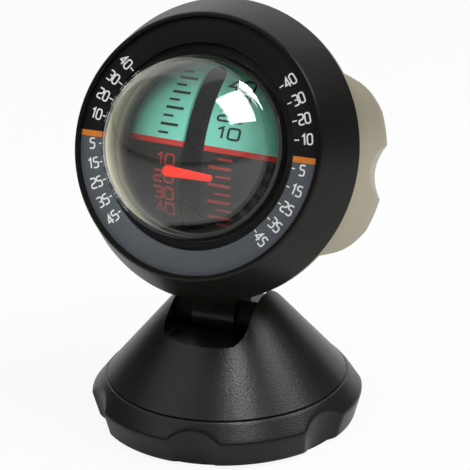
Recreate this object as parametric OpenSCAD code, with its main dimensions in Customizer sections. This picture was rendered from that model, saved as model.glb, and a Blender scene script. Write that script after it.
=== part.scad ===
// Dashboard inclinometer: a domed tilt gauge on a swivelling cone foot.
// Frame: millimetres, +Z up, origin at the centre of the underside, dial facing -Y, X to the right.
// Inside the head, positions are given as [radius or x, depth behind the dial plane].

/* [Foot] */
// Radius of the foot flange at its widest edge
flange_edge_r = 31.4; // [30:0.1:34]
// Height of that widest edge
flange_edge_z = 6.4; // [5.5:0.1:7.5]
// Radius of the flange at its underside
flange_foot_r = 29.8; // [28.5:0.1:30.5]
// Radius of the seam between flange and cone
seam_r = 28.0; // [27:0.1:29.5]
// Height of the seam
seam_z = 10.6; // [10:0.1:12]
// Thickness of the flange's top plate
flange_plate_t = 2.4; // [1.8:0.1:3.2]
// Wall of the flange's outer skirt
flange_wall = 3.6; // [2.4:0.1:5]
// Number of finger scallops round the flange
scallop_count = 6; // [3:1:9]
// Radius of the scallop cutter
scallop_r = 12.5; // [9:0.1:16]
// Depth of a scallop at the widest edge
scallop_depth = 2.0; // [1:0.1:2.4]
// Outward lean of a scallop in degrees
scallop_lean = 10; // [4:1:16]
// Turn of the first scallop from the dial's side in degrees
scallop_turn = 10; // [0:1:59]
// Thickness of the adhesive pad
pad_t = 0.6; // [0.4:0.1:2]
// Radius of the adhesive pad
pad_r = 28.0; // [24:0.1:28.8]
// Thickness of the base plate
base_plate_t = 1.4; // [1:0.1:2]
// Radius of the circle of base screws
base_screw_circle_r = 21; // [17:0.1:22.5]

/* [Cone] */
// Half angle of the cone in degrees
cone_half_angle = 41; // [38:0.5:44]
// Height of the cone's top
cone_top_z = 31.1; // [30.2:0.1:31.6]
// Wall of the cone's skirt
cone_wall = 2.4; // [1.6:0.1:3]
// Height of the ceiling inside the cone
cone_ceiling_z = 18; // [16.5:0.1:18.5]
// Width of the fork slot
slot_w = 20; // [18:0.1:21]
// Height of the fork slot's floor
slot_floor_z = 23.5; // [22.6:0.1:24]
// Corner radius of the fork slot
slot_corner_r = 2.5; // [1:0.1:4]

/* [Swivel] */
// Radius of the swivel bolt's shank
swivel_bolt_r = 2.5; // [1.5:0.1:3]
// Radius of the swivel bolt's head
swivel_head_r = 4.6; // [3.8:0.1:6]
// Thickness of the swivel bolt's head
swivel_head_t = 2.0; // [1.2:0.1:2.2]
// Thickness of the spring washer over the bolt's head
spring_washer_t = 0.8; // [0.5:0.1:1]
// Height of the boss in the middle of the flange above its plate
swivel_boss_h = 1.0; // [0.6:0.1:1.6]
// Thickness of the thrust washer
thrust_washer_t = 0.8; // [0.5:0.1:1.2]
// Outer radius of the swivel bosses and of the thrust washer
swivel_boss_r = 7; // [6:0.1:9]

/* [Tilt hinge] */
// Height of the tilt axis
hinge_z = 26; // [25.5:0.1:26.6]
// Distance of the tilt axis in front of the cone's axis
hinge_front = 2; // [0:0.1:3]
// Radius of the neck's knuckle
knuckle_r = 5; // [4:0.1:5.4]
// Width of the knuckle and neck
neck_w = 10.5; // [9:0.1:12]
// Radius of the tilt pin
tilt_pin_r = 1.5; // [1.2:0.1:2]
// Depth of the blind pin hole in each cheek
pin_hole_depth = 2.8; // [2:0.1:3.2]
// Outer radius of the friction spacers
spacer_r = 3.4; // [2.6:0.1:4.2]

/* [Head place] */
// Backward lean of the head in degrees
head_lean = 21.8; // [16:0.1:26]
// Distance from the tilt axis up to the dial's axis
pivot_drop = 36.4; // [36:0.1:39]
// Distance of the tilt axis behind the dial plane
pivot_back = 26.1; // [25:0.1:27]

/* [Neck] */
// Depth of the neck's column
neck_depth = 8; // [6:0.1:9]
// Length of the neck's top flange, front to back
neck_flange_l = 17; // [15.5:0.1:18]
// Thickness of the neck's top flange
neck_flange_t = 2.2; // [1.6:0.1:2.6]
// Distance between the two neck screws
neck_screw_pitch = 12.8; // [11.8:0.1:13.4]

/* [Bezel and dial] */
// Greatest radius of the bezel
bezel_r = 34; // [33.6:0.1:36]
// Depth from the dial plane to the bezel's rear edge
bezel_depth = 11.2; // [10.5:0.1:12.2]
// Height of the bezel's front lip above the dial plane
bezel_lip_h = 1.0; // [0.6:0.1:1.6]
// Width of the bezel's front lip
bezel_lip_w = 1.0; // [0.7:0.1:1.4]
// Bulge of the bezel's flank
bezel_bulge = 0.1; // [0:0.1:1.4]
// Wall of the bezel at its rear edge
bezel_wall = 2.0; // [1.4:0.1:2.2]
// Width of the bezel round the dial ring
bezel_w = 5.7; // [5.2:0.1:6.4]
// Width of the dial ring
ring_w = 5.5; // [5:0.1:6]
// Thickness of the dial ring
ring_t = 1.2; // [0.8:0.1:1.2]
// Width of the ledge under the dial ring
ring_ledge_w = 2.9; // [2:0.1:3]
// Thickness of that ledge
ring_ledge_t = 1.8; // [1.2:0.1:2]

/* [Capsule] */
// Gap between the clear dome and the hole in the dial ring
dome_gap = 2.0; // [1.4:0.1:2.2]
// Wall of the dome
dome_wall = 0.8; // [0.6:0.1:1]
// Thickness of the dome's flange
dome_flange_t = 1.2; // [0.8:0.1:1.6]
// Overlap of the capsule's flanges behind the dial ring
flange_lap = 1.8; // [1.4:0.1:2.2]
// Thickness of each seal, in front of and behind the dome's flange
seal_t = 0.6; // [0.4:0.1:1]
// Thickness of the cup's flange
cup_flange_t = 1.3; // [1:0.1:1.8]
// Width of the cup's flange, out from its bore
cup_flange_w = 3.6; // [3:0.1:3.8]
// Wall of the cup
cup_wall = 1.2; // [0.8:0.1:1.4]
// Depth of the inside of the cup's rear wall
cup_back_depth = 39.6; // [39:0.1:40]
// Thickness of the lip that the cup sends forward into the dome
cup_lip_w = 0.8; // [0.6:0.1:1.1]
// Depth of that lip's front edge behind the dial plane
cup_lip_depth = 0.2; // [0:0.1:1]
// Bevel round the back of the cup
cup_bevel = 2.2; // [1:0.1:3]
// Radius of the boss that holds the roll pin
roll_boss_r = 3.5; // [3:0.1:5]
// Height of that boss inside the cup
roll_boss_h = 2.0; // [1.2:0.1:2.4]
// Radius of the filler plug
plug_r = 2.2; // [1.6:0.1:3]
// Distance of the filler plug above the dial's axis
plug_up = 11; // [8:0.1:15]

/* [Rear housing] */
// Step from the bezel in to the housing's collar
collar_step = 0.3; // [0.1:0.1:1]
// Thickness of that collar
collar_t = 1.3; // [1:0.1:1.8]
// Length of the spigot that the bezel snaps on
spigot_l = 2.8; // [2:0.1:3.2]
// Wall of the housing
housing_wall = 2.0; // [1.7:0.1:2.4]
// Gap round the cup in the housing
cup_gap = 0.3; // [0.2:0.1:0.5]
// Gap behind the cup, with room for the filler plug's head
cup_back_gap = 0.9; // [0.7:0.1:1.6]
// Thickness of the housing's rear wall
housing_back_t = 2.0; // [1.6:0.1:2.6]
// Distance that the side grips stand out past the bezel
grip_proud = 0.5; // [0:0.1:1.5]
// Half height of a side grip under the bezel
grip_half_h = 20.8; // [19:0.1:21.5]
// Half height of a side grip where its ends start to curve
grip_mid_half_h = 18.9; // [18:0.1:20]
// Half height of a side grip at its very back
grip_back_half_h = 6; // [4:0.1:10]
// Length of the curve at each end of a side grip, front to back
grip_curve_l = 12.5; // [9:0.5:14]
// Depth where the side grips start to round off
grip_depth = 27.6; // [26:0.1:29]
// Radius of the thumb scoop cutter
scoop_r = 9.8; // [8:0.1:13]
// Depth of a thumb scoop at the back of the grip
scoop_depth = 3.1; // [2:0.1:3.6]
// Lean of a thumb scoop in degrees
scoop_lean = 15; // [10:1:20]

/* [Rear cover] */
// Radius of the rear cover
cover_r = 19; // [17:0.1:20]
// Thickness of the rear cover
cover_t = 1.6; // [1.4:0.1:2]
// Radius of the circle of cover screws
cover_screw_circle_r = 16.2; // [15.4:0.1:16.6]
// Radius of the opening behind the rear cover
cover_port_r = 13.5; // [10:0.1:14]

/* [Ball] */
// Radius of the curved face
face_r = 26; // [25.7:0.1:26.2]
// Distance of the face's crown in front of the dial plane
face_crown = 2.0; // [1.6:0.1:2.4]
// Gap between the ball or the rotor and the cup's bore
ball_gap = 0.6; // [0.5:0.1:1]
// Wall of the face
face_t = 1.0; // [0.7:0.1:1.3]
// Clockwise turn of the ball at rest, as the dial is read, in degrees
ball_turn = 2; // [0:0.5:4]
// Height of the horizon strip
horizon_h = 1.2; // [0.8:0.1:1.6]
// Width of the slot in the face
face_slot_w = 5.2; // [4.4:0.1:6]
// Distance from the face's rim in to the slot's top
slot_top_margin = 1.9; // [1.5:0.1:2.4]
// Distance from the face's rim in to the slot's bottom
slot_bottom_margin = 1.2; // [1:0.1:1.8]
// Thickness of the frame's front ring
frame_ring_t = 1.8; // [1.2:0.1:2.4]
// Width of the frame's front ring
frame_ring_w = 1.9; // [1.6:0.1:2]
// Distance from the face's rim in to the outer side of each frame arm
frame_arm_margin = 1.0; // [0.7:0.1:1.4]
// Thickness of a frame arm
frame_arm_t = 2.0; // [1.4:0.1:2.4]
// Height of a frame arm
frame_arm_h = 8; // [6:0.1:9]
// Thickness of the frame's rear bridge
frame_bridge_t = 2.6; // [2:0.1:2.8]
// Radius of the roll pin
roll_pin_r = 1.2; // [0.9:0.1:1.4]
// Radius of the pitch axle
pitch_axle_r = 1.0; // [0.8:0.1:1.2]
// Distance from the face's rim in to the roll weights
roll_weight_margin = 0.8; // [0.6:0.1:1.6]
// Width of the roll weights
roll_weight_w = 5.4; // [4.5:0.1:6]
// Thickness of the roll weights
roll_weight_t = 5.2; // [3:0.1:5.6]
// Gap between the two roll weights
roll_weight_gap = 8; // [7.6:0.1:10]

/* [Pointer] */
// Resting angle of the pointer below the dial's axis in degrees
pointer_rest = 13.5; // [10:0.5:18]
// Width of the rotor's rim
rotor_rim_w = 2.6; // [1.8:0.1:3.2]
// Half angle of the rotor's rim in degrees
rotor_half_angle = 46; // [40:1:50]
// Thickness of the rotor
rotor_t = 2.0; // [1.4:0.1:2.6]
// Radius of the rotor's hub
hub_r = 3.2; // [2.6:0.1:3.6]
// Width of the rotor's hub
hub_w = 7; // [5:0.1:7.4]
// Length of the pointer bar
bar_l = 12; // [10:0.1:13]
// Height of the pointer bar at its blunt end
bar_h = 2.5; // [1.8:0.1:3]
// Height of the pointer bar at its fine end
bar_tip_h = 1.5; // [1:0.1:2]
// Thickness of the pointer bar
bar_t = 0.8; // [0.6:0.1:1]
// Gap between the face and the pointer bar
bar_gap = 0.7; // [0.4:0.1:1]
// Angle from the pointer round to the pendulum weight in degrees
pitch_weight_angle = 125.5; // [118:0.5:130]
// Gap between the pendulum weight and the roll pin's nose
pitch_weight_gap = 0.4; // [0.3:0.1:1]
// Half angle of the pendulum weight in degrees
pitch_weight_half_angle = 22; // [15:1:25]

/* [Screws] */
// Radius of the small screws' shank
screw_r = 1.0; // [0.8:0.1:1.2]
// Radius of the small screws' head
screw_head_r = 1.8; // [1.5:0.1:2.1]
// Thickness of the small screws' head
screw_head_t = 0.9; // [0.7:0.1:1.2]
// Length of the small screws' shank
screw_l = 3.6; // [3:0.1:4.2]

/* [Fits] */
// Radial clearance of a pin in a turning bore
run_clear = 0.05; // [0.02:0.01:0.1]
// Gap between faces that slide past each other
slide_gap = 0.1; // [0.05:0.01:0.2]
// Gap between loosely fitted pieces
loose_gap = 0.3; // [0.2:0.05:0.4]

/* [Hidden] */
$fn = 96;

big = 200;
sliver = 0.02;

// Foot, from the underside up
flange_bottom_z = pad_t;
plate_top_z = flange_bottom_z + base_plate_t;
flange_ceiling_z = seam_z - flange_plate_t;
skirt_inner_r = flange_foot_r - flange_wall;
swivel_boss_top_z = seam_z + swivel_boss_h;
thrust_bottom_z = swivel_boss_top_z + slide_gap;
cone_boss_z = thrust_bottom_z + thrust_washer_t;
spring_washer_top_z = flange_ceiling_z - slide_gap;
bolt_head_top_z = spring_washer_top_z - spring_washer_t;
bolt_top_z = cone_ceiling_z;
screw_boss_r = screw_head_r + 1.4;

// Cone
cone_bottom_z = seam_z + loose_gap;
cone_slope = tan(cone_half_angle);
cone_bottom_r = seam_r - loose_gap * cone_slope;
cone_apex_z = cone_bottom_z + cone_bottom_r / cone_slope;
function cone_r(z) = (cone_apex_z - z) * cone_slope;
cone_skin = cone_wall / cos(cone_half_angle);
saddle_r = knuckle_r + 2 * loose_gap;
pin_half_l = slot_w / 2 + pin_hole_depth - slide_gap;

// Depths in the head, behind the dial plane
ring_outer_r = bezel_r - bezel_w;
ring_inner_r = ring_outer_r - ring_w;
dome_r = ring_inner_r - dome_gap;
dome_bore_r = dome_r - dome_wall;
capsule_flange_r = ring_inner_r + flange_lap;
cup_bore_r = capsule_flange_r - cup_flange_w;
cup_lip_r = dome_bore_r - slide_gap - cup_lip_w;
front_seal_d = ring_t + slide_gap;
dome_flange_d = front_seal_d + seal_t;
seal_d = dome_flange_d + dome_flange_t;
cup_flange_d = seal_d + seal_t;
seat_d = cup_flange_d + cup_flange_t;
cup_outer_r = cup_bore_r + cup_wall;
cup_end_d = cup_back_depth + cup_wall;
core_bore_r = cup_outer_r + cup_gap;
core_r = core_bore_r + housing_wall;
housing_back_depth = cup_end_d + cup_back_gap;
collar_r = bezel_r - collar_step;
grip_r = bezel_r + grip_proud;
spigot_r = bezel_r - bezel_wall - loose_gap;
spigot_d = bezel_depth - spigot_l;
collar_d = bezel_depth + slide_gap;
collar_end_d = collar_d + collar_t;
seat_ring_r = core_bore_r + housing_wall;
housing_end_d = housing_back_depth + housing_back_t + cover_t;
cover_d = housing_back_depth + housing_back_t;
grip_end_d = grip_depth + 5;
grip_skin = housing_wall;
pocket_inner_r = core_r + loose_gap;
pocket_front_r = spigot_r - housing_wall - loose_gap;
pocket_front_d = collar_end_d + 0.8;

// Neck, in the head's frame
neck_pad_down = core_r + 1.0;
neck_flange_down = neck_pad_down + neck_flange_t;

// Ball
ball_d = face_r - face_crown;
face_rim_r = cup_bore_r - ball_gap;
face_bore_r = face_r - face_t;
rim_d = ball_d - sqrt(face_r * face_r - face_rim_r * face_rim_r);
frame_ring_end_d = rim_d + frame_ring_t;
boss_d = cup_back_depth - roll_boss_h;
bridge_end_d = boss_d - slide_gap;
bridge_d = bridge_end_d - frame_bridge_t;
clip_t = 0.6;
clip_end_d = bridge_d - slide_gap;
clip_d = clip_end_d - clip_t;
roll_pin_end_d = cup_back_depth + cup_wall - 0.4;
roll_pin_nose_d = clip_d - 0.3;
frame_arm_x = face_rim_r - frame_arm_margin;
roll_weight_outer_r = face_rim_r - roll_weight_margin;
roll_weight_inner_r = roll_weight_outer_r - roll_weight_w;
rotor_r = cup_bore_r - ball_gap;
pitch_weight_r = roll_pin_nose_d - pitch_weight_gap - ball_d;
bar_inner_r = face_r + bar_gap;

// Puts head pieces, drawn with the dial facing +Z and its top along +Y, on the tilt axis
module in_head() {
    translate([0, -hinge_front, hinge_z])
        rotate([90 - head_lean, 0, 0])
            translate([0, pivot_drop, pivot_back])
                children();
}

// A turned piece of the head: points are [radius, depth]
module turned(points) {
    rotate_extrude() polygon([for (p = points) [p[0], -p[1]]]);
}

// A disc or tube of the head between two depths
module head_tube(outer_r, inner_r, from_d, to_d) {
    difference() {
        translate([0, 0, -to_d]) cylinder(r = outer_r, h = to_d - from_d);
        if (inner_r > 0)
            translate([0, 0, -to_d - 1]) cylinder(r = inner_r, h = to_d - from_d + 2);
    }
}

// A profile in the head's side plane, [depth, height], thickened across X about the middle
module side_plate(thickness) {
    rotate([0, 90, 0]) translate([0, 0, -thickness / 2]) linear_extrude(thickness) children();
}

// A wedge of the side plane about the pitch axle: angles from the front, up is positive
module fan(from_angle, to_angle, reach) {
    middle = (from_angle + to_angle) / 2;
    polygon([[0, 0], for (a = [from_angle, middle, to_angle]) reach * [-cos(a), sin(a)]]);
}

// A point on a quadratic curve from a to b, drawn towards c
function curve(a, c, b, t) = (1 - t) * (1 - t) * a + 2 * t * (1 - t) * c + t * t * b;

// Small screw with its head's underside at z = 0 and its shank along -Z
module small_screw(shank_l = screw_l) {
    difference() {
        union() {
            cylinder(r = screw_head_r, h = screw_head_t, $fn = 32);
            translate([0, 0, -shank_l]) cylinder(r = screw_r, h = shank_l + sliver, $fn = 24);
        }
        for (turn = [0, 90])
            rotate(turn)
                translate([-0.7 * screw_head_r, -0.2, 0.5 * screw_head_t])
                    cube([1.4 * screw_head_r, 0.4, screw_head_t]);
    }
}

module screw_hole(depth) {
    translate([0, 0, -depth]) cylinder(r = screw_r + run_clear, h = depth + 1, $fn = 24);
}

module ring_of(count, radius, first = 0) {
    for (i = [0 : count - 1])
        rotate(first + i * 360 / count) translate([radius, 0, 0]) children();
}

// ---- Foot ----

module adhesive_pad() {
    color("#2b2b2b") cylinder(r = pad_r, h = pad_t);
}

module base_plate() {
    color("#8f9296")
    difference() {
        translate([0, 0, flange_bottom_z]) cylinder(r = skirt_inner_r - slide_gap, h = base_plate_t);
        ring_of(3, base_screw_circle_r) {
            translate([0, 0, flange_bottom_z - 1]) cylinder(r = screw_r + run_clear, h = big, $fn = 24);
            translate([0, 0, flange_bottom_z - 1])
                cylinder(r = screw_head_r + run_clear, h = 1 + screw_head_t, $fn = 32);
        }
    }
}

module base_screws() {
    color("#b8bcc0")
    ring_of(3, base_screw_circle_r)
        translate([0, 0, flange_bottom_z + screw_head_t]) rotate([180, 0, 0]) small_screw();
}

module base_flange() {
    color("#2c2b29")
    difference() {
        union() {
            rotate_extrude()
                polygon([
                    [skirt_inner_r, flange_bottom_z], [flange_foot_r, flange_bottom_z],
                    [flange_edge_r, flange_edge_z - 0.3], [flange_edge_r, flange_edge_z + 0.3],
                    [seam_r + 0.2, seam_z], [swivel_boss_r, seam_z],
                    [swivel_boss_r, swivel_boss_top_z], [swivel_bolt_r + run_clear, swivel_boss_top_z],
                    [swivel_bolt_r + run_clear, flange_ceiling_z], [skirt_inner_r, flange_ceiling_z]
                ]);
            ring_of(3, base_screw_circle_r)
                translate([0, 0, plate_top_z])
                    cylinder(r = screw_boss_r, h = flange_ceiling_z - plate_top_z + sliver, $fn = 32);
        }
        ring_of(scallop_count, flange_edge_r - scallop_depth + scallop_r, scallop_turn - 90)
            translate([0, 0, flange_edge_z])
                rotate([0, scallop_lean, 0]) cylinder(r = scallop_r, h = 40, center = true);
        ring_of(3, base_screw_circle_r)
            translate([0, 0, flange_bottom_z])
                cylinder(r = screw_r + run_clear, h = screw_head_t + screw_l + slide_gap, $fn = 24);
    }
}

// ---- Turret ----

module cone_turret() {
    inner_bottom_r = cone_r(cone_bottom_z) - cone_skin;
    inner_top_r = cone_r(cone_ceiling_z) - cone_skin;
    color("#2c2b29")
    difference() {
        rotate_extrude()
            polygon([
                [inner_bottom_r, cone_bottom_z], [cone_bottom_r, cone_bottom_z],
                [cone_r(cone_top_z), cone_top_z], [0, cone_top_z], [0, cone_boss_z],
                [swivel_boss_r, cone_boss_z], [swivel_boss_r, cone_ceiling_z],
                [inner_top_r, cone_ceiling_z]
            ]);
        fork_slot();
        translate([0, -hinge_front, hinge_z]) rotate([0, 90, 0]) {
            cylinder(r = saddle_r, h = slot_w, center = true);
            cylinder(r = tilt_pin_r + sliver, h = slot_w + 2 * pin_hole_depth, center = true);
        }
        translate([0, 0, cone_boss_z - 1]) cylinder(r = swivel_bolt_r + sliver, h = bolt_top_z - cone_boss_z + 1);
    }
}

// The slot runs through the cone from front to back, with rounded lower corners
module fork_slot() {
    flat_w = slot_w - 2 * slot_corner_r;
    rotate([90, 0, 0]) linear_extrude(big, center = true) {
        translate([-flat_w / 2, slot_floor_z]) square([flat_w, big]);
        translate([-slot_w / 2, slot_floor_z + slot_corner_r]) square([slot_w, big]);
        for (side = [-1, 1])
            translate([side * flat_w / 2, slot_floor_z + slot_corner_r]) circle(r = slot_corner_r);
    }
}

module swivel_bolt() {
    color("#b8bcc0")
    difference() {
        union() {
            translate([0, 0, bolt_head_top_z - swivel_head_t]) cylinder(r = swivel_head_r, h = swivel_head_t);
            translate([0, 0, bolt_head_top_z - sliver])
                cylinder(r = swivel_bolt_r, h = bolt_top_z - bolt_head_top_z);
        }
        translate([0, 0, bolt_head_top_z - swivel_head_t - 1])
            cylinder(r = 0.5 * swivel_head_r, h = 1 + 0.6 * swivel_head_t, $fn = 6);
    }
}

module spring_washer() {
    color("#9a9da1")
    translate([0, 0, bolt_head_top_z])
        difference() {
            cylinder(r = swivel_head_r + 0.4, h = spring_washer_t);
            translate([0, 0, -1]) cylinder(r = swivel_bolt_r + 2 * run_clear, h = spring_washer_t + 2);
        }
}

module thrust_washer() {
    color("#e8e4d8")
    translate([0, 0, thrust_bottom_z])
        difference() {
            cylinder(r = swivel_boss_r, h = thrust_washer_t);
            translate([0, 0, -1]) cylinder(r = swivel_bolt_r + 2 * run_clear, h = thrust_washer_t + 2);
        }
}

module on_tilt_axis() {
    translate([0, -hinge_front, hinge_z]) rotate([0, 90, 0]) children();
}

module tilt_pin() {
    color("#b8bcc0") on_tilt_axis() cylinder(r = tilt_pin_r, h = 2 * pin_half_l, center = true);
}

// One friction spacer each side, between the knuckle and the fork's cheek
module tilt_spacers() {
    spacer_l = (slot_w - neck_w) / 2 - slide_gap;
    color("#3a3a38")
    on_tilt_axis()
        for (side = [-1, 1])
            translate([0, 0, side * (slot_w - spacer_l) / 2])
                difference() {
                    cylinder(r = spacer_r, h = spacer_l, center = true);
                    cylinder(r = tilt_pin_r + run_clear, h = spacer_l + 2, center = true);
                }
}

// ---- Head ----

module neck() {
    color("#2c2b29")
    in_head()
    difference() {
        union() {
            translate([0, -pivot_drop, -pivot_back]) rotate([0, 90, 0])
                cylinder(r = knuckle_r, h = neck_w, center = true);
            translate([-neck_w / 2, -pivot_drop, -pivot_back - neck_depth / 2])
                cube([neck_w, pivot_drop - neck_pad_down, neck_depth]);
            translate([-neck_w / 2, -neck_flange_down, -pivot_back - neck_flange_l / 2])
                cube([neck_w, neck_flange_t, neck_flange_l]);
        }
        translate([0, -pivot_drop, -pivot_back]) rotate([0, 90, 0])
            cylinder(r = tilt_pin_r + run_clear, h = neck_w + 2, center = true);
        at_neck_screws() screw_hole(big);
    }
}

// The two neck screws go up into the housing's pad, heads below the neck's flange
module at_neck_screws() {
    for (side = [-1, 1])
        translate([0, -neck_flange_down, -pivot_back + side * neck_screw_pitch / 2])
            rotate([90, 0, 0]) children();
}

module neck_screws() {
    color("#b8bcc0") in_head() at_neck_screws() small_screw();
}

// Outer face of the side grips, from front to back: [radius, depth]
function grip_face(skin) = [
    [collar_r + 0.4 - skin, collar_end_d + 2], [grip_r - 0.2 - skin, collar_end_d + 6],
    [grip_r - skin, grip_depth - 4 - skin], [grip_r - 0.1 - skin, grip_depth - skin],
    [grip_r - 0.8 - skin, grip_depth + 1.8 - skin], [grip_r - 2.2 - skin, grip_depth + 3.4 - skin],
    [grip_r - 4.2 - skin, grip_depth + 4.6 - skin]
];

// Closed outlines of the grips' outside and of the pockets inside them
grip_outline = concat(
    [[core_r - 2, collar_d], [collar_r, collar_d]], grip_face(0), [[core_r - 2, grip_end_d + 2]]
);
pocket_outline = concat(
    [[pocket_inner_r, 0], [pocket_front_r, 0], [pocket_front_r, pocket_front_d]],
    grip_face(grip_skin), [[pocket_inner_r, grip_end_d + 2 - grip_skin]]
);

// Upper edge of a side grip seen from the side, from front to back: [depth, half height]
function grip_edge(skin) = concat(
    [[spigot_d, grip_half_h - skin]],
    [for (t = [0 : 1 / 8 : 1])
        curve(
            [grip_depth + 4 - grip_curve_l, grip_mid_half_h - skin],
            [grip_depth - skin / 2, grip_mid_half_h - 1.9 - skin],
            [grip_depth + 4 - skin, grip_back_half_h - skin / 2], t
        )]
);

module grip_body(outline, skin) {
    from_x = core_r - 10;
    upper = grip_edge(skin);
    intersection() {
        turned(outline);
        for (side = [0, 1])
            mirror([side, 0, 0])
                translate([from_x, 0, 0]) rotate([0, 90, 0])
                    linear_extrude(bezel_r)
                        polygon(concat(upper, [for (i = [len(upper) - 1 : -1 : 0]) [upper[i][0], -upper[i][1]]]));
    }
}

// Thumb scoops run out towards the bezel and are deepest at the back of each grip
module thumb_scoops(radius) {
    for (side = [0, 1])
        mirror([side, 0, 0])
            translate([grip_r - scoop_depth + scoop_r / cos(scoop_lean), 0, -grip_depth - 0.4])
                rotate([0, scoop_lean, 0]) cylinder(r = radius, h = 60, center = true);
}

module rear_housing() {
    color("#aaa391")
    in_head()
    difference() {
        union() {
            turned([
                [spigot_r - housing_wall, spigot_d], [spigot_r, spigot_d], [spigot_r, collar_d],
                [collar_r, collar_d], [collar_r, collar_end_d], [collar_r - 4, collar_end_d + 1.6],
                [core_r + 2.6, collar_end_d + 4], [core_r + 0.6, collar_end_d + 8],
                [core_r, collar_end_d + 14], [core_r, housing_end_d - 5],
                [core_r - 0.6, housing_end_d - 2.6], [core_r - 2.2, housing_end_d - 0.8],
                [core_r - 4, housing_end_d], [cover_r + slide_gap, housing_end_d],
                [cover_r + slide_gap, cover_d], [cover_port_r, cover_d],
                [cover_port_r, housing_back_depth], [core_bore_r, housing_back_depth],
                [core_bore_r, seat_d], [seat_ring_r, seat_d], [seat_ring_r, collar_end_d],
                [spigot_r - housing_wall, collar_end_d - 2]
            ]);
            grip_body(grip_outline, 0);
            translate([-neck_w / 2 - 1, -neck_pad_down, -pivot_back - neck_flange_l / 2 - 1])
                cube([neck_w + 2, neck_pad_down - core_bore_r + 1, neck_flange_l + 2]);
        }
        difference() {
            grip_body(pocket_outline, grip_skin);
            thumb_scoops(scoop_r + grip_skin);
        }
        thumb_scoops(scoop_r);
        neck_pocket();
        head_tube(core_bore_r, 0, seat_d - 1, housing_back_depth);
        at_neck_screws() screw_hole(screw_l + slide_gap);
        cover_screw_places() translate([0, 0, screw_head_t]) screw_hole(screw_head_t + screw_l + slide_gap);
    }
}

// Flat seat for the neck's flange under the housing
module neck_pocket() {
    pocket_l = neck_flange_l + 2 * slide_gap;
    translate([-neck_w / 2 - slide_gap, -neck_pad_down - big, -pivot_back - pocket_l / 2])
        cube([neck_w + 2 * slide_gap, big, pocket_l]);
}

// Underside of each cover screw's head, facing backwards out of the cover
module cover_screw_places() {
    translate([0, 0, -housing_end_d + screw_head_t])
        rotate([180, 0, 0]) ring_of(3, cover_screw_circle_r, 90) children();
}

module rear_cover() {
    color("#99937f")
    in_head()
    difference() {
        head_tube(cover_r, 0, cover_d, housing_end_d);
        cover_screw_places() {
            screw_hole(big);
            cylinder(r = screw_head_r + run_clear, h = big, $fn = 32);
        }
    }
}

module cover_screws() {
    color("#b8bcc0") in_head() cover_screw_places() small_screw(screw_l - 1);
}

module bezel() {
    lip_inner_r = ring_outer_r + slide_gap;
    flank_top = [lip_inner_r + bezel_lip_w, 0.3 - bezel_lip_h];
    flank_end = [bezel_r, bezel_depth - 0.4];
    flank_pull = (flank_top + flank_end) / 2 + 2 * bezel_bulge * [0.92, -0.38];
    skirt_r = bezel_r - bezel_wall;
    color("#2d2b27")
    in_head()
        turned([
            [lip_inner_r, -bezel_lip_h], [lip_inner_r + bezel_lip_w - 0.3, -bezel_lip_h],
            for (t = [0 : 1 / 6 : 1]) curve(flank_top, flank_pull, flank_end, t),
            [bezel_r - 0.3, bezel_depth], [skirt_r, bezel_depth], [skirt_r, spigot_d - 0.8],
            [lip_inner_r + 1.2, ring_t + ring_ledge_t],
            [lip_inner_r - ring_ledge_w, ring_t + ring_ledge_t],
            [lip_inner_r - ring_ledge_w, ring_t], [lip_inner_r, ring_t]
        ]);
}

module dial_ring() {
    color("#3a3e44") in_head() head_tube(ring_outer_r, ring_inner_r, 0, ring_t);
}

module dome_lens() {
    color([0.85, 0.95, 0.92, 0.35])
    in_head() {
        difference() {
            sphere(r = dome_r);
            sphere(r = dome_bore_r);
            translate([0, 0, -big]) cylinder(r = big, h = big);
        }
        turned([
            [dome_bore_r, 0], [dome_r, 0], [dome_r, dome_flange_d],
            [capsule_flange_r, dome_flange_d], [capsule_flange_r, seal_d], [dome_bore_r, seal_d]
        ]);
    }
}

// One seal shows as a black ring round the dome, the other sits under its flange
module dome_seal() {
    color("#262626")
    in_head() {
        head_tube(capsule_flange_r - 0.2, dome_r + 0.1, front_seal_d, dome_flange_d);
        head_tube(capsule_flange_r - 0.2, cup_bore_r + 0.2, seal_d, cup_flange_d);
    }
}

module capsule_cup() {
    color("#d9cfb6")
    in_head()
    difference() {
        turned([
            [cup_lip_r, cup_lip_depth], [dome_bore_r - slide_gap, cup_lip_depth],
            [dome_bore_r - slide_gap, cup_flange_d], [capsule_flange_r, cup_flange_d],
            [capsule_flange_r, seat_d], [cup_outer_r, seat_d],
            [cup_outer_r, cup_end_d - cup_bevel], [cup_outer_r - cup_bevel, cup_end_d],
            [0, cup_end_d], [0, boss_d], [roll_boss_r, boss_d], [roll_boss_r, cup_back_depth],
            [cup_bore_r - cup_bevel, cup_back_depth], [cup_bore_r, cup_back_depth - cup_bevel],
            [cup_bore_r, seat_d + 1], [cup_lip_r, seat_d]
        ]);
        head_tube(roll_pin_r + sliver, 0, boss_d - 1, roll_pin_end_d);
        translate([0, plug_up, 0]) head_tube(plug_r + sliver, 0, boss_d, cup_end_d + 1);
    }
}

module filler_plug() {
    color("#1f1f1f")
    in_head()
    translate([0, plug_up, 0]) {
        head_tube(plug_r, 0, cup_back_depth, cup_end_d + sliver);
        head_tube(plug_r + 0.8, 0, cup_end_d, cup_end_d + 0.6);
    }
}

module roll_pin() {
    color("#b8bcc0") in_head() head_tube(roll_pin_r, 0, roll_pin_nose_d, roll_pin_end_d);
}

module roll_clip() {
    color("#9a9da1") in_head() head_tube(2 * roll_pin_r, roll_pin_r + sliver, clip_d, clip_end_d);
}

// ---- Ball, which rolls about the dial's axis ----

module in_ball() {
    in_head() rotate(-ball_turn) children();
}

module face_shell() {
    difference() {
        translate([0, 0, -ball_d]) sphere(r = face_r);
        translate([0, 0, -ball_d]) sphere(r = face_bore_r);
        translate([0, 0, -big - rim_d]) cylinder(r = big, h = big);
        face_slot();
    }
}

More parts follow.
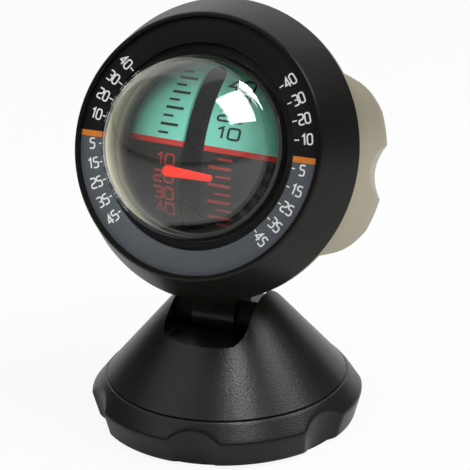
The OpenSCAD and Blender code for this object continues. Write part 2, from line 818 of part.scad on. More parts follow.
module face_slot() {
    reach = face_rim_r - slot_top_margin - face_slot_w / 2;
    drop = face_rim_r - slot_bottom_margin - face_slot_w / 2;
    translate([0, 0, -big / 2]) linear_extrude(big) {
        translate([-face_slot_w / 2, -drop]) square([face_slot_w, reach + drop]);
        translate([0, reach]) circle(d = face_slot_w);
        translate([0, -drop]) circle(d = face_slot_w);
    }
}

// Keeps what lies between two heights
module between(low, high) {
    intersection() {
        children();
        translate([-big / 2, low, -big / 2]) cube([big, high - low, big]);
    }
}

module face_upper() {
    color("#73cbb4") in_ball() between(horizon_h / 2, big / 2) face_shell();
}

module face_lower() {
    color("#2a2a28") in_ball() between(-big / 2, -horizon_h / 2) face_shell();
}

module horizon_strip() {
    color("#be2d23") in_ball() between(-horizon_h / 2, horizon_h / 2) face_shell();
}

module roll_frame() {
    ring_inner = face_rim_r - frame_ring_w;
    color("#3b3b39")
    in_ball()
    difference() {
        union() {
            head_tube(face_rim_r, ring_inner, rim_d, frame_ring_end_d);
            for (side = [-1, 1])
                translate([side * (frame_arm_x - frame_arm_t / 2), 0, 0])
                    side_plate(frame_arm_t)
                        translate([rim_d + 0.4, -frame_arm_h / 2])
                            square([bridge_end_d - rim_d - 0.4, frame_arm_h]);
            translate([-frame_arm_x, -frame_arm_h / 2, -bridge_end_d])
                cube([2 * frame_arm_x, frame_arm_h, frame_bridge_t]);
        }
        head_tube(roll_pin_r + run_clear, 0, bridge_d - 1, bridge_end_d + 1);
        translate([0, 0, -ball_d]) rotate([0, 90, 0])
            cylinder(r = pitch_axle_r + sliver, h = 3 * frame_arm_x, center = true);
    }
}

// Two brass crescents at the bottom of the frame's ring keep the horizon level
module roll_weights() {
    color("#b08a46")
    in_head()
    for (side = [0, 1])
        mirror([side, 0, 0])
            translate([0, 0, -frame_ring_end_d - roll_weight_t])
                linear_extrude(roll_weight_t)
                    intersection() {
                        difference() {
                            circle(r = roll_weight_outer_r);
                            circle(r = roll_weight_inner_r);
                        }
                        translate([roll_weight_gap / 2, -big]) square([big, big - 0.42 * face_rim_r]);
                    }
}

module pitch_axle() {
    half_l = frame_arm_x - slide_gap;
    color("#b8bcc0")
    in_ball()
    translate([0, 0, -ball_d]) rotate([0, 90, 0])
        cylinder(r = pitch_axle_r, h = 2 * half_l, center = true);
}

// ---- Pointer, a pendulum on the pitch axle ----

// Moves to the pitch axle and turns the pointer down to its resting angle
module at_pointer() {
    in_ball() translate([0, 0, -ball_d]) rotate([pointer_rest, 0, 0]) children();
}

module pointer_rotor() {
    rim_inner_r = rotor_r - rotor_rim_w;
    color("#242423")
    at_pointer()
    difference() {
        union() {
            side_plate(rotor_t) {
                intersection() {
                    difference() {
                        circle(r = rotor_r);
                        circle(r = rim_inner_r);
                    }
                    fan(-rotor_half_angle, rotor_half_angle, 2 * rotor_r);
                }
                for (a = [-0.6 * rotor_half_angle, 0, 0.6 * rotor_half_angle])
                    rotate(180 - a) translate([0, -0.8]) square([rim_inner_r + 0.5, 1.6]);
                rotate(180) translate([rim_inner_r + 0.5, -0.8])
                    square([bar_inner_r - rim_inner_r - 0.5, 1.6]);
                rotate(180 + pitch_weight_angle)
                    translate([0, -1.2]) square([pitch_weight_r - 5.4, 2.4]);
            }
            rotate([0, 90, 0]) cylinder(r = hub_r, h = hub_w, center = true);
        }
        rotate([0, 90, 0]) cylinder(r = pitch_axle_r + run_clear, h = hub_w + 2, center = true);
    }
}

// Blunt at the left end, finer at the right end, with round ends
module pointer_bar() {
    half_l = bar_l / 2;
    blunt_r = bar_h / 2;
    tip_r = bar_tip_h / 2;
    color("#e2502a")
    at_pointer()
    translate([0, 0, bar_inner_r])
        linear_extrude(bar_t) {
            translate([blunt_r - half_l, 0]) circle(r = blunt_r, $fn = 32);
            translate([half_l - tip_r, 0]) circle(r = tip_r, $fn = 32);
            polygon([
                [blunt_r - half_l, -blunt_r], [half_l - tip_r, -tip_r],
                [half_l - tip_r, tip_r], [blunt_r - half_l, blunt_r]
            ]);
        }
}

module pitch_weight() {
    inner_r = hub_r + slide_gap;
    centre = -pitch_weight_angle;
    color("#b08a46")
    at_pointer()
    difference() {
        side_plate(hub_w)
            intersection() {
                difference() {
                    circle(r = pitch_weight_r);
                    circle(r = inner_r);
                }
                fan(centre - pitch_weight_half_angle, centre + pitch_weight_half_angle, 2 * pitch_weight_r);
            }
        side_plate(rotor_t)
            rotate(180 + pitch_weight_angle)
                translate([0, -1.2]) square([pitch_weight_r - 5.4, 2.4]);
    }
}

adhesive_pad();
base_plate();
base_screws();
base_flange();
cone_turret();
swivel_bolt();
spring_washer();
thrust_washer();
tilt_pin();
tilt_spacers();
neck();
neck_screws();
rear_housing();
rear_cover();
cover_screws();
bezel();
dial_ring();
dome_lens();
dome_seal();
capsule_cup();
filler_plug();
roll_pin();
roll_clip();
face_upper();
face_lower();
horizon_strip();
roll_frame();
roll_weights();
pitch_axle();
pointer_rotor();
pointer_bar();
pitch_weight();
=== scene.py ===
"""Looks for a dashboard inclinometer: a domed tilt gauge on a swivelling cone foot.

Lengths are in millimetres unless a name or comment says otherwise, and the functions that place
points turn them into metres. In the head, a point is (x, v, d): to the right, up the dial, and
depth behind the dial plane. A turned profile is (radius, depth) in the head and (radius, height)
in the foot.
"""
from math import cos, pi, radians, sin, sqrt, tan

import bmesh
import bpy
import numpy as np
from mathutils import Matrix


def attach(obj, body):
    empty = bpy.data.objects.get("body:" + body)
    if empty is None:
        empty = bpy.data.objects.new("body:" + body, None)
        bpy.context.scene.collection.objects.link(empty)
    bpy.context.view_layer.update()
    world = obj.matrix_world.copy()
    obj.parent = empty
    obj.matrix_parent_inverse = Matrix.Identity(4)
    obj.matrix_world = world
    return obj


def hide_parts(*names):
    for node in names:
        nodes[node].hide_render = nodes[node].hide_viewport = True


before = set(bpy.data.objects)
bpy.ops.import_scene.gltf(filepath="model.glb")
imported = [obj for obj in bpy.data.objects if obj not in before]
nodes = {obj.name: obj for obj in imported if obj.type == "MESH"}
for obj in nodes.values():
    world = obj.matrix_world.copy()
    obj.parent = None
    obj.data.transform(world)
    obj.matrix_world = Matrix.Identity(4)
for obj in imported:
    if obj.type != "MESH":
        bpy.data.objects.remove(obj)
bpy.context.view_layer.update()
scene = bpy.context.scene
MM = 0.001

# ---- Driving dimensions, as in the CAD file: R radius, L length, W width, H height, T thickness ----

# Fits
RUN_CLEAR, SLIDE_GAP = 0.05, 0.1

# Head: its lean, its tilt axis, and how far that lies below the dial's centre and behind it
LEAN = radians(21.8)
TILT_AXIS = np.array([0.0, -2.0, 26.0])
PIVOT_DROP, PIVOT_BACK = 36.4, 26.1

# Bezel and dial ring
BEZEL_R, BEZEL_W, BEZEL_DEPTH, BEZEL_WALL = 34.0, 5.7, 11.2, 2.0
BEZEL_LIP_H, BEZEL_LIP_W = 1.0, 1.0
SPIGOT_L = 2.8
RING_W, RING_T = 5.5, 1.2
LEDGE_W, LEDGE_T = 2.9, 1.8

# Capsule: the dome, its seals and the cup's lip inside it
DOME_GAP, DOME_WALL, DOME_FLANGE_T = 2.0, 0.8, 1.2
FLANGE_LAP = 1.8
SEAL_T = 0.6
CUP_LIP_W = 0.8

# Ball: its face is a sphere about the pitch axle, with its crown in front of the dial plane
BALL_TURN = radians(2)
FACE_R, FACE_CROWN = 26.0, 2.0

# Pointer
POINTER_REST = radians(13.5)
BAR_L, BAR_T, BAR_BLUNT_H, BAR_FINE_H = 12.0, 0.8, 2.5, 1.5
BAR_GAP = 0.7

# Foot
PAD_T = 0.6
FLANGE_FOOT_R, FLANGE_WALL, FLANGE_PLATE_T = 29.8, 3.6, 2.4
FLANGE_EDGE_R, FLANGE_EDGE_Z = 31.4, 6.4
SEAM_R, SEAM_Z = 28.0, 10.6
SWIVEL_BOSS_R, SWIVEL_BOSS_H, SWIVEL_BOLT_R = 7.0, 1.0, 2.5
SCALLOPS, SCALLOP_R, SCALLOP_DEPTH = 6, 12.5, 2.0
# The first scallop lies 10 degrees round from the dial's side, which is at -90
SCALLOP_LEAN, SCALLOP_TURN = radians(10), radians(10 - 90)

# Worked out from these; D is the depth behind the dial plane
RING_OUTER_R = BEZEL_R - BEZEL_W
RING_INNER_R = RING_OUTER_R - RING_W
SPIGOT_D = BEZEL_DEPTH - SPIGOT_L
DOME_R = RING_INNER_R - DOME_GAP
DOME_BORE_R = DOME_R - DOME_WALL
CAPSULE_FLANGE_R = RING_INNER_R + FLANGE_LAP
DOME_FLANGE_D = RING_T + SLIDE_GAP + SEAL_T
SEAL_D = DOME_FLANGE_D + DOME_FLANGE_T
CUP_FLANGE_D = SEAL_D + SEAL_T
CUP_LIP_OUTER_R = DOME_BORE_R - SLIDE_GAP
CUP_LIP_INNER_R = CUP_LIP_OUTER_R - CUP_LIP_W
BALL_D = FACE_R - FACE_CROWN
BAR_MID_R = FACE_R + BAR_GAP + BAR_T / 2

# The liquid's film, a painted view of the cup through the liquid, lies between the cup's lip and the dome,
# in the looks alone
FILM_R, FILM_BORE_R = DOME_BORE_R - 0.04, DOME_BORE_R - 0.10

# ---- Places ----

RIGHT = np.array([1.0, 0.0, 0.0])
UP = np.array([0.0, sin(LEAN), cos(LEAN)])
OUT = np.array([0.0, -cos(LEAN), sin(LEAN)])
DIAL_CENTRE = TILT_AXIS + PIVOT_DROP * UP + PIVOT_BACK * OUT
BALL_RIGHT = cos(BALL_TURN) * RIGHT - sin(BALL_TURN) * UP
BALL_UP = sin(BALL_TURN) * RIGHT + cos(BALL_TURN) * UP


def from_dial(right, up, x, v, d):
    """Dial centre + x along right + v along up - d outwards, in metres."""
    x, v, d = np.broadcast_arrays(x, v, d)
    return (DIAL_CENTRE + x[..., None] * right + v[..., None] * up - d[..., None] * OUT) * MM


def head(x, v, d):
    """A point of the head."""
    return from_dial(RIGHT, UP, x, v, d)


def ball(x, v, d):
    """A point of the ball, whose right and up are turned clockwise by BALL_TURN."""
    return from_dial(BALL_RIGHT, BALL_UP, x, v, d)


def on_pointer(x, y, z):
    """A point of the pointer: y up and z outwards from the pitch axle, turned down by POINTER_REST."""
    v = y * cos(POINTER_REST) - z * sin(POINTER_REST)
    return ball(x, v, BALL_D - y * sin(POINTER_REST) - z * cos(POINTER_REST))


def upright(x, y, z):
    """A point of the foot: x, y and z as they are, in metres."""
    return np.stack(np.broadcast_arrays(x, y, z), axis=-1) * MM


def on_ring(x, y, h):
    """On the dial ring's front face, h above it."""
    return head(x, y, -h)


def on_face(x, y, h):
    """On the ball's face: the sphere of radius FACE_R + h about the pitch axle, seen from the front."""
    return ball(x, y, BALL_D - np.sqrt((FACE_R + h) ** 2 - x * x - y * y))


# ---- Meshes ----

def added(name, data):
    """A new object of the scene that holds this mesh, lamp or camera."""
    obj = bpy.data.objects.new(name, data)
    scene.collection.objects.link(obj)
    return obj


def mounted(name, mesh, body, material, replaces=()):
    """The mesh as a visible piece of one material, riding on a body in place of the CAD nodes named."""
    mesh.materials.clear()
    mesh.materials.append(material)
    obj = added(name, mesh)
    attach(obj, body)
    if replaces:
        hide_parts(*replaces)
    return obj


def piece(name, verts, faces, body, material, slot, crease=35, replaces=()):
    """A closed mesh whose doubles are merged and whose faces point outwards, as a visible piece.
    Edges that turn by more than the crease, in degrees, stay sharp."""
    merge_m = 1e-7
    mesh = bpy.data.meshes.new(name)
    points = np.asarray(verts, float).reshape(-1, 3)
    mesh.from_pydata(points.tolist(), [], [tuple(map(int, face)) for face in faces])
    work = bmesh.new()
    work.from_mesh(mesh)
    bmesh.ops.remove_doubles(work, verts=work.verts, dist=merge_m)
    bmesh.ops.recalc_face_normals(work, faces=work.faces)
    work.to_mesh(mesh)
    work.free()
    mesh.shade_smooth()
    mesh.set_sharp_from_angle(angle=radians(crease))
    return mounted(name, mesh, body, material, replaces)


def wrap(rows, columns, close_rows=False, close_columns=True):
    """Quads of a grid of rows x columns points, closed along either way."""
    r = np.arange(rows if close_rows else rows - 1)
    c = np.arange(columns if close_columns else columns - 1)
    r, c = np.meshgrid(r, c, indexing="ij")
    r2, c2 = (r + 1) % rows, (c + 1) % columns
    quads = np.stack([r * columns + c, r * columns + c2, r2 * columns + c2, r2 * columns + c], axis=-1)
    return quads.reshape(-1, 4)


def rounded(points, radius, steps=5, closed=True):
    """A polyline whose corners become quadratic curves, each cut back by its radius at most."""
    points = np.asarray(points, float)
    count = len(points)
    radii = np.broadcast_to(radius, count)
    most_of_a_side = 0.48
    out = []
    t = np.linspace(0, 1, steps + 1)[:, None]
    for i, p in enumerate(points):
        if radii[i] == 0 or (not closed and i in (0, count - 1)):
            out.append(p[None])
            continue
        before, after = points[i - 1] - p, points[(i + 1) % count] - p
        a = p + before * min(radii[i] / np.linalg.norm(before), most_of_a_side)
        b = p + after * min(radii[i] / np.linalg.norm(after), most_of_a_side)
        out.append((1 - t) ** 2 * a + 2 * t * (1 - t) * p + t * t * b)
    return np.concatenate(out)


def rounded_profile(rows, steps=5):
    """A closed profile from rows of (radius, depth or height, rounding of that corner)."""
    rows = np.array(rows, float)
    return rounded(rows[:, :2], rows[:, 2], steps)


def softened(name, node, body, material, width, segments=3):
    """The CAD node's own shape with its doubles merged and each sharp edge rounded by the width."""
    merge_m, flat, sharp = 2e-6, radians(0.4), radians(32)
    mesh = nodes[node].data.copy()
    work = bmesh.new()
    work.from_mesh(mesh)
    bmesh.ops.remove_doubles(work, verts=work.verts, dist=merge_m)
    bmesh.ops.dissolve_limit(work, angle_limit=flat, verts=work.verts, edges=work.edges)
    work.to_mesh(mesh)
    work.free()
    mesh.shade_smooth()
    rough = added(name + "_rough", mesh)
    bevel = rough.modifiers.new("round", "BEVEL")
    bevel.width = width * MM
    bevel.segments = segments
    bevel.limit_method = "ANGLE"
    bevel.angle_limit = sharp
    bevel.use_clamp_overlap = True
    weighted = rough.modifiers.new("weigh", "WEIGHTED_NORMAL")
    weighted.weight = 100
    bpy.context.view_layer.update()
    smooth = bpy.data.meshes.new_from_object(rough.evaluated_get(bpy.context.evaluated_depsgraph_get()))
    bpy.data.objects.remove(rough)
    return mounted(name, smooth, body, material, [node])


def turned(name, profile, place, body, material, slot, turns=256, closed=True, **more):
    """A profile of (radius, depth or height) points carried round the axis of its place. It is a
    loop, or where it isn't closed, a line with both ends on the axis."""
    angle = np.linspace(0, 2 * pi, turns, endpoint=False)
    r, d = profile[:, 0, None], profile[:, 1, None]
    verts = place(r * np.cos(angle), r * np.sin(angle), d + 0 * angle)
    return piece(name, verts, wrap(len(profile), turns, close_rows=closed), body, material, slot, **more)


def band(path, width, closed):
    """The two sides of a stroke: each point of the path is moved along its mitred normal by half
    the width over the cosine of half the corner's turn, and by no more than the least cosine gives."""
    least_cosine = 0.5
    path = np.asarray(path, float)
    nxt = np.roll(path, -1, 0) - path
    prv = path - np.roll(path, 1, 0)
    if not closed:
        nxt[-1], prv[0] = prv[-1], nxt[0]
    nxt /= np.linalg.norm(nxt, axis=1)[:, None]
    prv /= np.linalg.norm(prv, axis=1)[:, None]
    along = nxt + prv
    along /= np.linalg.norm(along, axis=1)[:, None]
    side = np.stack([-along[:, 1], along[:, 0]], 1)
    reach = width / 2 / np.maximum((along * nxt).sum(1), least_cosine)
    return path + side * reach[:, None], path - side * reach[:, None]


def dense(path, step=0.5):
    """The path with extra points, so that no stretch is longer than the step."""
    out = [path[:1]]
    for a, b in zip(path[:-1], path[1:]):
        n = max(1, int(np.ceil(np.linalg.norm(b - a) / step)))
        out.append(a + (b - a) * (np.arange(1, n + 1) / n)[:, None])
    return np.concatenate(out)


def dense_loop(path, step=0.5):
    """The same for a closed path, whose last point leads back to its first."""
    return dense(np.concatenate([path, path[:1]]), step)[:-1]


def printed(name, strokes, place, body, material, slot, height=0.035):
    """Print as thin closed bands, from just under the surface to the height above it: each stroke
    is (path, width, closed), laid on a surface."""
    sunk = -0.05
    verts, faces, start = [], [], 0
    for path, width, closed in strokes:
        path = np.asarray(path, float)
        path = dense_loop(path) if closed else dense(path)
        left, right = band(path, width, closed)
        ring = np.stack([place(*left.T, height), place(*right.T, height),
                         place(*right.T, sunk), place(*left.T, sunk)], axis=1)
        n = len(path)
        verts.append(ring.reshape(-1, 3))
        faces += (wrap(n, 4, close_rows=closed) + start).tolist()
        if not closed:
            faces += [[start + k for k in (0, 1, 2, 3)], [start + 4 * (n - 1) + k for k in (3, 2, 1, 0)]]
        start += 4 * n
    return piece(name, np.concatenate(verts), faces, body, material, slot, crease=30)


# Squared dial figures on a cell 1 wide and 1 high, each as strokes of (points, closed, rounding of
# the corners as a share of the figure's height)
FIGURES = {
    "0": [([(0, 0), (1, 0), (1, 1), (0, 1)], True, 0.25)],
    "1": [([(0.3, 0.78), (0.75, 1), (0.75, 0)], False, 0)],
    "2": [([(0, 1), (1, 1), (1, 0.54), (0, 0.42), (0, 0), (1.02, 0)], False, 0.2)],
    "3": [([(0, 1), (1, 1), (1, 0.52), (0.3, 0.52)], False, 0.2),
          ([(0.3, 0.52), (1, 0.52), (1, 0), (0, 0)], False, 0.2)],
    "4": [([(0.74, 0), (0.74, 1), (0, 0.3), (1.1, 0.3)], False, 0)],
    "5": [([(0.97, 1), (0.04, 1), (0, 0.56), (1, 0.56), (1, 0), (0, 0)], False, 0.2)],
}


def figures(text, size, width, x, y, turn, step):
    """Strokes of a number whose middle is at (x, y), its line turned by an angle; size is a
    figure's (width, height) and step the way from one figure to the next."""
    span = step * (len(text) - 1) + size[0]
    spin = np.array([[cos(turn), sin(turn)], [-sin(turn), cos(turn)]])
    strokes = []
    for i, character in enumerate(text):
        for points, closed, corner in FIGURES[character]:
            path = np.array(points, float) * size
            if corner:
                path = rounded(path, corner * size[1], steps=4, closed=closed)
            path = (path - [span / 2 - i * step, size[1] / 2]) @ spin
            strokes.append((path + [x, y], width, closed))
    return strokes


# ---- Shader nodes ----

def linear(colour):
    """sRGB 0-255 to linear, with an alpha of 1."""
    c = np.array(colour, float) / 255
    return tuple(np.where(c <= 0.04045, c / 12.92, ((c + 0.055) / 1.055) ** 2.4)) + (1.0,)


def feed(tree, value, socket):
    """Gives a socket its value: another node's output, or a constant."""
    if isinstance(value, bpy.types.NodeSocket):
        tree.links.new(value, socket)
    else:
        socket.default_value = value


def math_node(tree, operation, a, b):
    """The result of a math node on two values."""
    node = tree.nodes.new("ShaderNodeMath")
    node.operation = operation
    feed(tree, a, node.inputs[0])
    feed(tree, b, node.inputs[1])
    return node.outputs["Value"]


def product(tree, *factors):
    """The factors multiplied together."""
    result = factors[0]
    for factor in factors[1:]:
        result = math_node(tree, "MULTIPLY", result, factor)
    return result


def vector_node(tree, operation, *vectors, scale=None):
    """The result of a vector math node: a value for a product or a length, else a vector."""
    node = tree.nodes.new("ShaderNodeVectorMath")
    node.operation = operation
    for vector, socket in zip(vectors, node.inputs):
        feed(tree, vector, socket)
    if scale is not None:
        feed(tree, scale, node.inputs["Scale"])
    return node.outputs["Value" if operation in ("DOT_PRODUCT", "LENGTH") else "Vector"]


def flipped(tree, value):
    """1 - the value."""
    return math_node(tree, "SUBTRACT", 1.0, value)


def mapped(tree, source, low, high):
    """A value that goes straight from low to high as the source goes from 0 to 1."""
    node = tree.nodes.new("ShaderNodeMapRange")
    for label, value in (("Value", source), ("To Min", low), ("To Max", high)):
        feed(tree, value, node.inputs[label])
    return node.outputs["Result"]


def ramp(tree, source, start, end, low=0.0, high=1.0):
    """A value that goes smoothly from low to high as the source goes from start to end."""
    node = tree.nodes.new("ShaderNodeMapRange")
    node.interpolation_type = "SMOOTHSTEP"
    for label, value in (("Value", source), ("From Min", start), ("From Max", end), ("To Min", low),
                         ("To Max", high)):
        feed(tree, value, node.inputs[label])
    return node.outputs["Result"]


def colour_mix(tree, factor, a, b):
    """The colour a at factor 0 and b at factor 1."""
    node = tree.nodes.new("ShaderNodeMix")
    node.data_type = "RGBA"
    for label, value in (("Factor", factor), ("A", a), ("B", b)):
        feed(tree, value, node.inputs[label])
    return node.outputs["Result"]


def new_material(name):
    """A material, its node tree and its Principled shader."""
    mat = bpy.data.materials.new(name)
    mat.use_nodes = True
    return mat, mat.node_tree, mat.node_tree.nodes["Principled BSDF"]


def tinted(mat, factor, colour):
    """Moves the base colour towards another, all the way at factor 1."""
    tree = mat.node_tree
    base = tree.nodes["Principled BSDF"].inputs["Base Color"]
    feed(tree, colour_mix(tree, factor, base.links[0].from_socket, linear(colour)), base)


def blended_surface(mat, factor, first, second):
    """The material's surface: the first shader at factor 0 and the second at factor 1."""
    tree = mat.node_tree
    mix = tree.nodes.new("ShaderNodeMixShader")
    for value, socket in zip((factor, first, second), mix.inputs):
        feed(tree, value, socket)
    feed(tree, mix.outputs["Shader"], tree.nodes["Material Output"].inputs["Surface"])


def new_group(name, inputs, outputs):
    """A node group with float sockets, its inputs as {name: default}, and its two end nodes."""
    group = bpy.data.node_groups.new(name, "ShaderNodeTree")
    for label, default in inputs.items():
        socket = group.interface.new_socket(label, in_out="INPUT", socket_type="NodeSocketFloat")
        socket.default_value = default
    for label in outputs:
        group.interface.new_socket(label, in_out="OUTPUT", socket_type="NodeSocketFloat")
    return group, group.nodes.new("NodeGroupInput"), group.nodes.new("NodeGroupOutput")


def make_grain_group():
    """Moulded or sprayed surface: Grain is fine height, Tone is slow change between 0 and 1."""
    group, entry, leave = new_group("surface_grain", {"Grain Scale": 3000.0, "Tone Scale": 60.0},
                                    ("Grain", "Tone"))
    place = group.nodes.new("ShaderNodeTexCoord")
    for label, detail in (("Grain", 2.0), ("Tone", 4.0)):
        noise = group.nodes.new("ShaderNodeTexNoise")
        noise.inputs["Detail"].default_value = detail
        feed(group, place.outputs["Object"], noise.inputs["Vector"])
        feed(group, entry.outputs[f"{label} Scale"], noise.inputs["Scale"])
        feed(group, noise.outputs["Fac"], leave.inputs[label])
    return group


def make_place_group():
    """Where a point lies in the head, in mm: Radius from the dial's axis, Depth behind the dial
    plane, Reach from the dial centre and Side to the right of it."""
    group, _, leave = new_group("dial_place", {}, ("Radius", "Depth", "Reach", "Side"))
    place = group.nodes.new("ShaderNodeTexCoord")
    inwards = tuple(-OUT)
    offset = vector_node(group, "SUBTRACT", place.outputs["Object"], tuple(DIAL_CENTRE * MM))
    in_mm = vector_node(group, "SCALE", offset, scale=1 / MM)
    depth = vector_node(group, "DOT_PRODUCT", in_mm, inwards)
    reach = vector_node(group, "LENGTH", in_mm)
    side = vector_node(group, "DOT_PRODUCT", in_mm, tuple(RIGHT))
    along = vector_node(group, "SCALE", inwards, scale=depth)
    across = vector_node(group, "SUBTRACT", in_mm, along)
    radius = vector_node(group, "LENGTH", across)
    for label, value in (("Radius", radius), ("Depth", depth), ("Reach", reach), ("Side", side)):
        feed(group, value, leave.inputs[label])
    return group


GRAIN = make_grain_group()
DIAL_PLACE = make_place_group()


def placed_group(tree, group):
    """A node of this group in a material's tree."""
    node = tree.nodes.new("ShaderNodeGroup")
    node.node_tree = group
    return node


# ---- Finishes ----

def finish(name, colour, roughness, metallic=0.0, grain=3000.0, bump=0.02, tone=60.0, spread=0.12, ior=1.5):
    """A finish whose colour drifts slowly by the spread, a share of itself, and whose roughness
    drifts with it. Its grain gives a fine bump, in mm; grain and tone are scales per metre."""
    rough_spread, least_rough = 0.06, 0.02
    mat, tree, shader = new_material(name)
    shader.inputs["Metallic"].default_value = metallic
    shader.inputs["IOR"].default_value = ior
    surface = placed_group(tree, GRAIN)
    surface.inputs["Grain Scale"].default_value = grain
    surface.inputs["Tone Scale"].default_value = tone
    drift = surface.outputs["Tone"]
    base = np.array(linear(colour)[:3])
    darker = tuple(base * (1 - spread)) + (1,)
    lighter = tuple(np.minimum(base * (1 + spread), 1)) + (1,)
    feed(tree, colour_mix(tree, drift, darker, lighter), shader.inputs["Base Color"])
    rough = mapped(tree, drift, max(roughness - rough_spread, least_rough), roughness + rough_spread)
    feed(tree, rough, shader.inputs["Roughness"])
    if bump:
        relief = tree.nodes.new("ShaderNodeBump")
        relief.inputs["Strength"].default_value = 1.0
        relief.inputs["Distance"].default_value = bump * MM
        feed(tree, surface.outputs["Grain"], relief.inputs["Height"])
        feed(tree, relief.outputs["Normal"], shader.inputs["Normal"])
    return mat


def cup_finish(name):
    """Cream plastic with painted shade that darkens it inwards to the face. The lip's front edge has
    painted shade, dimmed cream at the left and dark at the right, and its outer side has a painted
    shadow. Each ramp runs between two places in mm."""
    face_shade, edge_shade_left, edge_shade_right, outer_shadow = (48, 46, 38), (120, 115, 97), (34, 38, 31), (26, 28, 23)
    mat = finish(name, (196, 186, 160), 0.3, grain=2500, bump=0.004, tone=50, spread=0.05)
    tree = mat.node_tree
    place = placed_group(tree, DIAL_PLACE)
    radius, depth = place.outputs["Radius"], place.outputs["Depth"]
    # Painted shade: the cream darkens inwards towards the face
    tinted(mat, ramp(tree, depth, -5.0, 3.5), face_shade)
    on_lip = ramp(tree, depth, CUP_FLANGE_D - 0.1, CUP_FLANGE_D + 0.1, 1.0, 0.0)
    past_bore = ramp(tree, radius, CUP_LIP_INNER_R + 0.02, CUP_LIP_INNER_R + 0.06)
    front_edge = product(tree, past_bore, on_lip)
    # Painted shade on the lip's front edge: dimmed cream at the left, darker towards the right
    tinted(mat, front_edge, edge_shade_left)
    shade_rightwards = ramp(tree, place.outputs["Side"], -17.5, -6.0)
    tinted(mat, product(tree, front_edge, shade_rightwards), edge_shade_right)
    # Painted shadow on the lip's outer side
    outer_side = ramp(tree, radius, CUP_LIP_OUTER_R - 0.04, CUP_LIP_OUTER_R - 0.01)
    tinted(mat, product(tree, outer_side, on_lip), outer_shadow)
    return mat


def liquid_rim_finish(name):
    """What the liquid shows of the cup up to the dome's outline, painted as lit cream with painted
    shade darker towards the dial plane: seen on the film's inner surface and from inside only, fading
    forwards. It casts no shadow. Each ramp runs between two places in mm."""
    painted_shade_cream = (124, 119, 100)
    mat = finish(name, (216, 204, 172), 0.5, bump=0, tone=50, spread=0.05, ior=1.2)
    tree = mat.node_tree
    place = placed_group(tree, DIAL_PLACE)
    depth = place.outputs["Depth"]
    # Painted shade: the cream darkens back towards the dial plane
    tinted(mat, ramp(tree, depth, -8.3, 0.0), painted_shade_cream)
    side = tree.nodes.new("ShaderNodeNewGeometry")
    ray = tree.nodes.new("ShaderNodeLightPath")
    facing = flipped(tree, side.outputs["Backfacing"])
    inner = ramp(tree, place.outputs["Reach"], FILM_BORE_R + 0.02, FILM_BORE_R + 0.04, 1.0, 0.0)
    fade = ramp(tree, depth, -11.0, -8.2)
    no_shadow = flipped(tree, ray.outputs["Is Shadow Ray"])
    shown = product(tree, facing, inner, fade, no_shadow)
    feed(tree, shown, tree.nodes["Principled BSDF"].inputs["Alpha"])
    return mat


def dial_finish(name):
    """The dial ring's print: black above the line through the orange marks, grey below it."""
    grey, black = (84, 88, 93), (22, 22, 23)
    mat = finish(name, grey, 0.45, grain=5000, bump=0.004, spread=0.04, ior=1.25)
    tree = mat.node_tree
    place = tree.nodes.new("ShaderNodeTexCoord")
    height = vector_node(tree, "DOT_PRODUCT", place.outputs["Object"], tuple(UP))
    marks_height = float(DIAL_CENTRE @ UP) * MM
    tinted(mat, math_node(tree, "GREATER_THAN", height, marks_height), black)
    return mat


def clear_finish(name):
    """Clear plastic that lets the lamps' light through to what is behind it. Its coat mirrors, and
    its low IOR keeps the view inside straight."""
    mat, tree, shader = new_material(name)
    shader.inputs["Base Color"].default_value = (0.97, 1.0, 0.99, 1.0)
    shader.inputs["Roughness"].default_value = 0.02
    shader.inputs["IOR"].default_value = 1.04
    shader.inputs["Coat Weight"].default_value = 0.8
    shader.inputs["Coat Roughness"].default_value = 0.02
    shader.inputs["Transmission Weight"].default_value = 1.0
    ray = tree.nodes.new("ShaderNodeLightPath")
    through = tree.nodes.new("ShaderNodeBsdfTransparent")
    through.inputs["Color"].default_value = (0.96, 0.98, 0.97, 1)
    blended_surface(mat, ray.outputs["Is Shadow Ray"], shader.outputs["BSDF"], through.outputs["BSDF"])
    return mat


foot_black = finish("foot_black", (19, 18, 16), 0.3, grain=2400, bump=0.034, tone=45, spread=0.1, ior=1.35)
bezel_black = finish("bezel_black", (22, 21, 18), 0.34, grain=2600, tone=30, spread=0.08, ior=1.27)
silver = finish("sprayed_silver", (160, 152, 130), 0.38, metallic=0.55, grain=4000, tone=40, spread=0.06)
steel = finish("turned_steel", (180, 182, 186), 0.28, metallic=1.0, grain=5000, bump=0.004, tone=300)
brass = finish("turned_brass", (178, 140, 72), 0.3, metallic=1.0, grain=4000, bump=0.004, tone=200)
rubber = finish("seal_rubber", (18, 18, 17), 0.6, grain=3500, bump=0.01, ior=1.3)
foam = finish("pad_foam", (36, 36, 36), 0.85, grain=1800, bump=0.08)
nylon = finish("washer_nylon", (226, 222, 210), 0.45, bump=0.004)
cream = cup_finish("cup_cream")
liquid_rim = liquid_rim_finish("liquid_rim")
dial_print = dial_finish("dial_print")
white_print = finish("white_print", (232, 232, 230), 0.5, bump=0, spread=0.03)
orange_print = finish("orange_print", (205, 118, 30), 0.5, bump=0, spread=0.05)
teal = finish("face_teal", (114, 194, 176), 0.34, bump=0, tone=40, spread=0.05, ior=1.3)
face_black = finish("face_black", (26, 26, 22), 0.45, bump=0, spread=0.08, ior=1.25)
red = finish("horizon_red", (184, 34, 30), 0.4, bump=0.003, spread=0.05, ior=1.3)
red_print = finish("red_print", (148, 40, 32), 0.5, bump=0, spread=0.06, ior=1.25)
black_print = finish("black_print", (14, 20, 18), 0.5, bump=0, spread=0.05, ior=1.25)
frame_black = finish("frame_plastic", (24, 23, 22), 0.45, bump=0.006, ior=1.3)
rotor_black = finish("rotor_plastic", (8, 8, 7), 0.35, bump=0.004, ior=1.25)
pointer_orange = finish("pointer_orange", (246, 40, 10), 0.35, bump=0.004, tone=120, spread=0.05, ior=1.2)
dome_clear = clear_finish("dome_clear")

